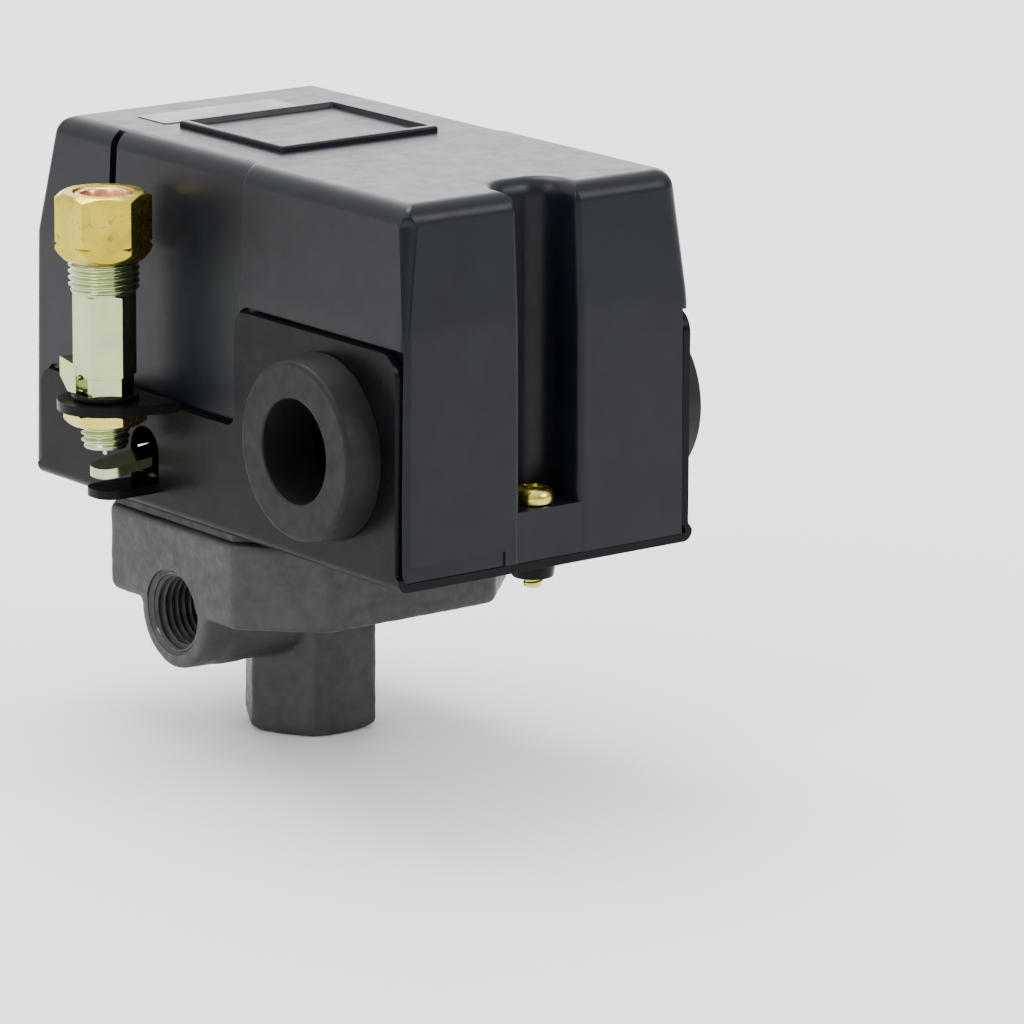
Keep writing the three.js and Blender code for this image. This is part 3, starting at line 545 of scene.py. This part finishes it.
# ---- base frame -----------------------------------------------------------------------------------
def make_base():
    bend, wall = 1.9, PANEL_OUT - PANEL_IN
    outer = [(-PANEL_OUT, 95, 0), (-PANEL_OUT, FLOOR_0, bend), (PANEL_OUT, FLOOR_0, bend), (PANEL_OUT, 95, 0),
             (PANEL_IN, 95, 0), (PANEL_IN, FLOOR_1, bend - wall), (-PANEL_IN, FLOOR_1, bend - wall),
             (-PANEL_IN, 95, 0)]
    tray = prism("base", outline(outer, 6), -70.3, 40.6, "y")
    side_view = [(-70.3, 40, 0), (40.6, 40, 0), (40.6, 45.4, 0.4), (PANEL_REAR, 46.2, 0.6),
                 (PANEL_REAR, PANEL_LOW, 3), (PANEL_STEP, PANEL_LOW, 2.5), (PANEL_STEP, PANEL_HIGH, 3),
                 (PANEL_FRONT, PANEL_HIGH, 4), (PANEL_FRONT, 46.2, 0.6), (-70.3, 45.4, 0.4)]
    common(tray, prism("side_view", outline(side_view, 8), -40, 40, "x"))
    root, near, far, lug_r = -31.8, -5.0, 16.5, 8.6

    def tangent(y, sign):
        dx, dy = root - VALVE[0], y - VALVE[1]
        return math.degrees(math.atan2(dy, dx) + sign * math.acos(lug_r / math.hypot(dx, dy)))

    lug = [(root, near), (root, far)] + arc(*VALVE, lug_r, tangent(far, 1), tangent(near, -1) + 360, 28)
    tongue = outline([(-31.5, 2, 0), (-31.5, 10, 0), (-43.5, 10, 3.4), (-43.5, 2, 3.4)], 8)
    ear = outline([(PIVOT_X - 4, FLOOR_1 - 0.4, 0), (PIVOT_X + 4, FLOOR_1 - 0.4, 0),
                   (PIVOT_X + 4, PIVOT_Z + 4.5, 3), (PIVOT_X - 4, PIVOT_Z + 4.5, 3)], 8)
    collar = lathe("collar", [(3.6, 40.9), (3.75, 41.3), (3.9, 42.4), (4.1, 43.1), (4.2, 43.6)], 40,
                   (0, SCREW_Y, 0))
    fuse(tray, prism("lug", lug, 63.0, 64.8), prism("tongue", tongue, 46.9, 48.5),
         prism("ear", ear, -32.2, -30.6, "y"), prism("ear", ear, 27.6, 29.2, "y"), collar)
    slot = outline([(1.5, 48.5, 0), (10.2, 48.5, 0), (10.2, 58.5, 4.2), (1.5, 58.5, 4.2)], 8)
    holes = [prism("slot", slot, -40, -20, "x"),
             lathe("hole", [(11, -40), (11, 40)], 72, (0, GROMMET_Y, GROMMET_Z), "x"),
             lathe("hole", [(10.6, 40), (10.6, 50)], 48),
             lathe("hole", [(4.7, 60), (4.7, 70)], 40, (*VALVE, 0)),
             lathe("hole", [(2.1, 35), (2.1, 50)], 24, (0, SCREW_Y, 0)),
             lathe("hole", [(2.3, -40), (2.3, 40)], 24, (PIVOT_X, 0, PIVOT_Z), "y")]
    small = [(sx * FLANGE_HOLE, sy * FLANGE_HOLE, 2.3) for sx, sy in ((1, 1), (1, -1), (-1, 1), (-1, -1))]
    small += [(20, -62, 1.8), (-20, -62, 1.8), (13.7, -46, 1.8), (-13.7, -46, 1.8), (*RANGE_AT, 1.8),
              (*DIFFERENTIAL_AT, 1.5)]
    holes += [lathe("hole", [(r, 42), (r, 47)], 20, (x, y, 0)) for x, y, r in small]
    cut(tray, *holes)
    soften(tray, 0.22, 2, 35)
    finish_piece(tray, "black_steel", "housing", "base_frame")


# ---- manifold ---------------------------------------------------------------------------------------
def roughen(obj, height, scale):
    """Moves each vertex along its normal by smooth noise, in millimetres."""
    mesh = obj.data
    normals = [v.normal.copy() for v in mesh.vertices]
    for vertex, normal in zip(mesh.vertices, normals):
        vertex.co += normal * (noise.noise(vertex.co * scale) * height * MM)
        vertex.co.z = max(vertex.co.z, 0.0)


def make_manifold():
    x, y, c = 30.85, 31.35, 12.3
    octagon = [(-x, -y + c), (-x + c, -y), (x - c, -y), (x, -y + c),
               (x, y - c), (x - c, y), (-x + c, y), (-x, y - c)]
    rings = []
    for z, d in ((FLANGE_0, 1.4), (FLANGE_0 + 0.5, 0.4), (FLANGE_0 + 1.6, 0),
                 (FLANGE_1 - 0.6, 0), (FLANGE_1, 0.3)):
        points = outline([(u * (1 - d / x), v * (1 - d / y), 1.6) for u, v in octagon], 4)
        rings.append([(p.x, p.y, z) for p in points])
    body = loft("manifold_body", rings)
    af = 22.7
    corner = af / math.sqrt(3)
    rim = lathe("rim", [(corner - 1.9, 0), (corner - 1.0, 0.35), (corner - 0.2, 1.2), (corner + 0.6, 2.6),
                        (corner + 1, 30), (0.5, 30), (0.5, 0)], 60)
    hexagonal = prism("hex", hexagon(af, math.pi / 3), 0, 28)
    fuse(body, common(hexagonal, rim))
    side = lathe("boss", [(0.5, 30.5), (9.6, 30.5), (10.2, 30.1), (10.4, 29.4), (10.4, 2), (0.5, 2)], 56,
                 (0, 0, PORT_Z), "-x")
    web = prism("web", outline([(-9.2, 14.8, 8), (9.2, 14.8, 8), (10.4, PORT_Z, 0), (10.4, 30, 0),
                                (-10.4, 30, 0), (-10.4, PORT_Z, 0)], 6), -24, 0, "x")
    fuse(body, side, web)
    remesh = body.modifiers.new("cast", "REMESH")
    remesh.mode = "VOXEL"
    remesh.voxel_size = 0.55 * MM
    smooth = body.modifiers.new("soft", "SMOOTH")
    smooth.factor = 0.5
    smooth.iterations = 5
    bake(body)
    roughen(body, 0.09, 260)
    roughen(body, 0.05, 900)
    port = [(7.9, 32), (7.9, 30.35), (7.05, 29.6), (7.05, 12), (6.0, 11.5), (6.0, 0)]
    cut(body, lathe("port", port, 64, (0, 0, PORT_Z), "-x"),
        lathe("port", [(7.7, -1), (7.7, 0.1), (6.9, 0.9), (6.9, 14), (5.9, 14.5), (5.9, 38)], 64),
        lathe("chamber", [(13, FLANGE_1 - 3.5), (13, FLANGE_1 + 1)], 64))
    for sx in (-1, 1):
        for sy in (-1, 1):
            cut(body, lathe("hole", [(2.3, FLANGE_1 - 13.2), (2.3, FLANGE_1 + 1)], 20,
                            (sx * FLANGE_HOLE, sy * FLANGE_HOLE, 0)))
    shade_smooth(body)
    body.data.set_sharp_from_angle(angle=math.radians(45))
    finish_piece(body, "cast_manifold", "housing", "manifold")
    inside = threaded("side_port_thread", 6.95, 0.85, 1.41, 12.2, 29.9, inner=7.2)
    inside.data.transform(Matrix.Translation((0, 0, PORT_Z * MM)) @ Matrix.Rotation(-math.pi / 2, 4, "Y"))
    finish_piece(soften(inside, 0), "cast_manifold")
    below = threaded("tank_port_thread", 6.85, 0.8, 1.41, 0.7, 13.9, inner=7.05)
    finish_piece(soften(below, 0), "cast_manifold")


# ---- grommets -----------------------------------------------------------------------------------------
def make_grommets():
    lip = arc(9.65, 38.6, 0.4, 180, 90, 4)
    rim = arc(14.9, 38.1, 0.9, 90, 8, 8)
    profile = [(9.25, 28.4)] + lip + rim
    profile += [(16.05, 36.2), (16.35, 34.0), (16.5, 32.45), (10.8, 32.4), (10.7, 30.6), (13.9, 30.5),
                (14.1, 29.9), (13.5, 28.4)]
    for side, name in ((-1, "left"), (1, "right")):
        grommet = lathe("grommet_" + name + "_fine", profile, 96, (0, GROMMET_Y, GROMMET_Z),
                        "x" if side > 0 else "-x", closed=True)
        finish_piece(soften(grommet, 0, sharp=50), "grommet_rubber", "housing", "grommet_" + name)


# ---- unloader valve --------------------------------------------------------------------------------------
def hex_nut(name, af, z0, z1, turn, chamfer_low, chamfer_high, groove=None):
    corner = af / math.sqrt(3)
    flat = af / 2
    sides = []
    if chamfer_low:
        sides += [(flat - 0.35, z0), (corner - 0.45, z0 + chamfer_low * 0.55),
                  (corner + 0.15, z0 + chamfer_low)]
    else:
        sides += [(corner + 0.5, z0)]
    if groove:
        sides += [(corner + 0.15, groove - 0.5), (corner - 0.75, groove), (corner + 0.15, groove + 0.35)]
    sides += [(corner + 0.15, z1 - chamfer_high), (flat - 0.3, z1)] if chamfer_high else [(corner + 0.5, z1)]
    turned = lathe("round", [(0.3, z0)] + sides + [(0.3, z1)], 72)
    return common(prism(name, hexagon(af, turn), z0, z1), turned)


def make_unloader():
    x, y = VALVE
    body = hex_nut("unloader_body_fine", 9.8, 69.0, 84.25, math.pi / 6, 0.4, 0.5)
    shoulder = prism("shoulder", hexagon(9.0, math.pi / 6), 65.9, 70.5)
    wing = outline([(7.0, 68.4, 0.2), (7.0, 71.9, 0.2), (2.0, 71.0, 0), (2.0, 65.9, 0), (4.6, 65.9, 0.4)], 4)
    fuse(body, shoulder, prism("wing", wing, -4.95, -1.6, "x"))
    cut(body, prism("window", outline([(-1.2, 64, 0), (1.9, 64, 0), (1.9, 69.6, 1.5), (-1.2, 69.6, 1.5)], 8),
                    -8, -3.4, "x"))
    soften(body, 0.12, 2)
    bake(body)
    foot = threaded("foot", 4.35, 0.62, 1.25, 56.0, 66.3)
    neck = threaded("neck", 6.35, 0.62, 1.16, 84.2, 96.0)
    shade_smooth(foot)
    shade_smooth(neck)
    join(body, foot, neck)
    shift(body, x, y)
    finish_piece(body, "pale_zinc", "housing", "unloader_body")
    nut = hex_nut("unloader_nut_fine", 15.0, 90.3, 102.3, math.pi / 6, 2.0, 1.0, groove=93.1)
    bore = [(6.6, 89), (6.6, 97.5), (5.3, 98.8), (5.3, 101.9), (5.55, 102.35), (5.6, 103)]
    cut(nut, lathe("bore", bore, 64))
    shift(soften(nut, 0.16, 2, 28), x, y)
    finish_piece(nut, "brass", "housing", "unloader_nut")
    cone = [(3.25, 97.1), (4.6, 97.1), (5.0, 98.9), (5.2, 100.9)]
    lip = arc(4.7, 101.6, 0.5, 0, 90, 5) + arc(4.4, 101.5, 0.6, 90, 180, 5) + [(3.4, 100.2)]
    ferrule = lathe("ferrule_fine", cone + lip, 64, (x, y, 0), closed=True)
    finish_piece(soften(ferrule, 0, sharp=50), "copper", "housing", "unloader_ferrule")
    jam = hex_nut("jam_nut_fine", 13.0, 60.3, 62.9, 0.35, 0.9, 0.5)
    cut(jam, lathe("bore", [(4.4, 59), (4.4, 63)], 40))
    shift(soften(jam, 0.18, 3, 28), x, y)
    finish_piece(jam, "yellow_zinc", "housing", "unloader_jam_nut")
    plate = lathe("lock_plate_fine", [(4.65, 0), (6.0, 0), (6.0, 0.9), (4.65, 0.9)], 56, (0, 0, 64.9),
                  closed=True)
    shift(soften(plate, 0.14, 2), x, y)
    finish_piece(plate, "black_steel", "housing", "unloader_lock_plate")
    pin_profile = [(0.01, 54.5), (0.35, 54.5), (0.5, 54.7), (0.5, 88.3), (2.6, 88.3), (2.7, 88.5),
                   (2.7, 89.8), (2.5, 90.0), (1.2, 90.3), (0.01, 90.4)]
    pin = lathe("unloader_pin_fine", pin_profile, 28, (x, y, 0))
    finish_piece(soften(pin, 0), "steel", "unloader_pin", "unloader_pin")
    spring = coil("unloader_spring_fine", 2.3, 0.3, 90.7, 96.4, 4, (x, y))
    finish_piece(soften(spring, 0), "spring_steel", "housing", "unloader_spring")
    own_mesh(spring)


# ---- parts under the cover -------------------------------------------------------------------------------
def make_adjuster(prefix, x, y, coil_r, wire, turns, top, stud_r, stud_top, seat_r, nut_af, shank_r, travel):
    foot = 55.7
    spring = coil(prefix + "_spring_fine", coil_r, wire, foot, top - 0.1, turns, (x, y), 14, 32)
    finish_piece(soften(spring, 0), "spring_steel", "housing", prefix + "_spring")
    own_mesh(spring)
    stud = lathe(prefix + "_stud_fine", [(0.01, 43.5), (shank_r, 43.5), (shank_r, 44.9), (stud_r + 1.4, 44.9),
                                         (stud_r + 1.6, 45.1), (stud_r + 1.6, 47.0), (stud_r + 1.4, 47.2),
                                         (stud_r - 0.3, 47.2), (stud_r - 0.3, 50), (0.01, 50)], 36)
    soften(stud, 0)
    bake(stud)
    rod = threaded("rod", stud_r, 0.12 * stud_r, 1.0 if stud_r > 2 else 0.8, 47.1, stud_top, around=32)
    shade_smooth(rod)
    join(stud, rod)
    finish_piece(shift(stud, x, y), "steel", "housing", prefix + "_stud")
    bore, spigot, seat_top = stud_r + 0.3, coil_r - wire - 0.5, top + 1.6
    seat = lathe(prefix + "_seat_fine", [(bore, top - 3), (bore, seat_top), (seat_r, seat_top), (seat_r, top),
                                         (spigot, top), (spigot, top - 3)], 56, (x, y, 0), closed=True)
    finish_piece(soften(seat, 0.2, 2), "pale_zinc", prefix + "_seat", prefix + "_seat")
    nut = hex_nut(prefix + "_nut_fine", nut_af, seat_top + 0.1, seat_top + 5, 0, 0.5, 0.5)
    cut(nut, lathe("bore", [(bore, top), (bore, top + 9)], 32))
    finish_piece(shift(soften(nut, 0.12, 2, 28), x, y), "brass", prefix + "_nut", prefix + "_nut")


def make_internals():
    make_adjuster("range", *RANGE_AT, 9.6, 1.05, 7, 84, 2.5, 99, 11, 10, 1.5, 4)
    make_adjuster("differential", *DIFFERENTIAL_AT, 4.6, 0.6, 8, 76, 1.8, 88, 5.8, 7, 1.2, 3)
    plunger_profile = [(0.01, 43.5), (9.8, 43.5), (10, 43.7), (10, 44.6), (9.6, 44.9), (4.5, 46.8),
                       (4.5, 52.7), (4.1, 53.1), (1.6, 54.05), (0.01, 54.1)]
    plunger = lathe("plunger_fine", plunger_profile, 56)
    finish_piece(soften(plunger, 0, sharp=50), "ivory_nylon", "plunger", "plunger")
    refine("main_lever", "pale_zinc", "main_lever", 0.2)
    refine("contact_block", "phenolic", "housing", 0.35)
    refine("contact_carrier", "ivory_nylon", "contact_carrier", 0.3)
    refine("pivot_clip", "spring_steel", "housing", 0.1, 1)
    refine("diaphragm", "diaphragm_rubber", "housing", 0.25)
    pin_profile = [(0.01, -35.4), (2.9, -35.4), (3.2, -35.1), (3.2, -34.2), (2.0, -34.2), (2.0, 30.6),
                   (1.4, 30.65), (1.4, 31.45), (2.0, 31.5), (2.0, 32.0), (1.6, 32.4), (0.01, 32.4)]
    pin = lathe("pivot_pin_fine", pin_profile, 40, (PIVOT_X, 0, PIVOT_Z), "y")
    finish_piece(soften(pin, 0), "steel", "housing", "lever_pivot_pin")
    for i, x in enumerate((-19.8, -7.6, 7.6, 19.8)):
        refine(f"terminal_{i + 1}", "brass", "housing", 0.15)
        screw = pan_screw(f"terminal_screw_{i + 1}_fine", 3.7, 2.6, 2.0, 8.6, (x, -50, 58.4))
        finish_piece(screw, "steel", "housing", f"terminal_screw_{i + 1}")
    for i, x in enumerate((-13.7, 13.7)):
        refine(f"contact_bridge_{i + 1}", "copper", "contact_carrier", 0.2)
        spring = coil(f"contact_spring_{i + 1}_fine", 1.5, 0.25, 60.9, 65.8, 5, (x, -40.5), 10, 20)
        finish_piece(soften(spring, 0), "spring_steel", "contact_carrier", f"contact_spring_{i + 1}")
        screw = pan_screw(f"block_screw_{i + 1}_fine", 2.8, 1.6, 1.5, 6, (x, -46, 43.1), down=True)
        finish_piece(screw, "steel", "housing", f"block_screw_{i + 1}")
    for i, x in enumerate((-20, 20)):
        screw = pan_screw(f"ground_screw_{i + 1}_fine", 3.6, 2.0, 1.5, 3.4, (x, -62, 44.9))
        finish_piece(screw, "green_zinc", "housing", f"ground_screw_{i + 1}")
    number = 1
    for sx in (-1, 1):
        for sy in (-1, 1):
            screw = pan_screw(f"flange_screw_{number}_fine", 3.8, 2.2, 2.0, 13.0,
                              (sx * FLANGE_HOLE, sy * FLANGE_HOLE, 44.9))
            finish_piece(screw, "steel", "housing", f"flange_screw_{number}")
            number += 1


# ---- stage ------------------------------------------------------------------------------------------------
def plain(name, colour, rough):
    made = bpy.data.materials.new(name)
    made.use_nodes = True
    shader = made.node_tree.nodes["Principled BSDF"]
    shader.inputs["Base Color"].default_value = (*colour, 1)
    shader.inputs["Roughness"].default_value = rough
    return made


def make_stage():
    sheet = [(-4000, -3000, -0.2), (4000, -3000, -0.2), (4000, 7000, -0.2), (-4000, 7000, -0.2)]
    floor = build("floor", sheet, [(0, 1, 2, 3)])
    floor.data.materials.append(plain("floor_paper", (0.92, 0.92, 0.92), 0.8))
    world = bpy.data.worlds.new("studio")
    bpy.context.scene.world = world
    world.use_nodes = True
    nodes, links = world.node_tree.nodes, world.node_tree.links
    place = nodes.new("ShaderNodeTexCoord")
    bright_side = nodes.new("ShaderNodeVectorMath")
    bright_side.operation = "DOT_PRODUCT"
    bright_side.inputs[1].default_value = Vector((-0.18, 0.32, 0.93)).normalized()
    links.new(place.outputs["Generated"], bright_side.inputs[0])
    fall = nodes.new("ShaderNodeMapRange")
    fall.inputs["From Min"].default_value = -0.25
    fall.inputs["From Max"].default_value = 0.75
    fall.inputs["To Min"].default_value = 0.16
    fall.inputs["To Max"].default_value = 1.70
    links.new(bright_side.outputs["Value"], fall.inputs["Value"])
    links.new(fall.outputs["Result"], nodes["Background"].inputs["Strength"])
    nodes["Background"].inputs["Color"].default_value = (1, 1, 1, 1)
    aim = Vector((-0.005, -0.015, 0.06))
    for name, spot, size, power in (
            ("key", (-0.95, -0.25, 0.75), 0.45, 4.0),
            ("side", (0.6, -1.0, 0.7), 0.5, 8.0),
            ("top", (0.05, 0.35, 1.1), 0.7, 13.0),
            ("back", (0.80, 1.05, 0.42), 1.0, 10.0)):
        lamp = bpy.data.lights.new(name, "AREA")
        lamp.size = size
        lamp.energy = power
        holder = bpy.data.objects.new(name, lamp)
        holder.visible_camera = False
        holder.location = spot
        holder.rotation_mode = "QUATERNION"
        holder.rotation_quaternion = (aim - Vector(spot)).to_track_quat("-Z", "Y")
        bpy.context.scene.collection.objects.link(holder)


def make_camera():
    azimuth, elevation, roll = (math.radians(a) for a in (-37.779, 13.876, -0.317))
    back = Vector((math.sin(azimuth) * math.cos(elevation), -math.cos(azimuth) * math.cos(elevation),
                   math.sin(elevation)))
    right = (-back).cross(Vector((0, 0, 1))).normalized()
    down = (-back).cross(right)
    across = right * math.cos(roll) + down * math.sin(roll)
    fall = down * math.cos(roll) - right * math.sin(roll)
    camera = bpy.data.cameras.new("camera")
    camera.sensor_width = 36
    camera.lens = 227.81
    camera.clip_start, camera.clip_end = 0.05, 50
    holder = bpy.data.objects.new("camera", camera)
    turned = Matrix((across, -fall, back)).transposed().to_4x4()
    holder.matrix_world = Matrix.Translation((-0.67237, -0.92750, 0.32217)) @ turned
    bpy.context.scene.collection.objects.link(holder)
    bpy.context.scene.camera = holder


make_base()
make_manifold()
make_grommets()
make_unloader()
make_internals()
make_cover()
make_stage()
make_camera()
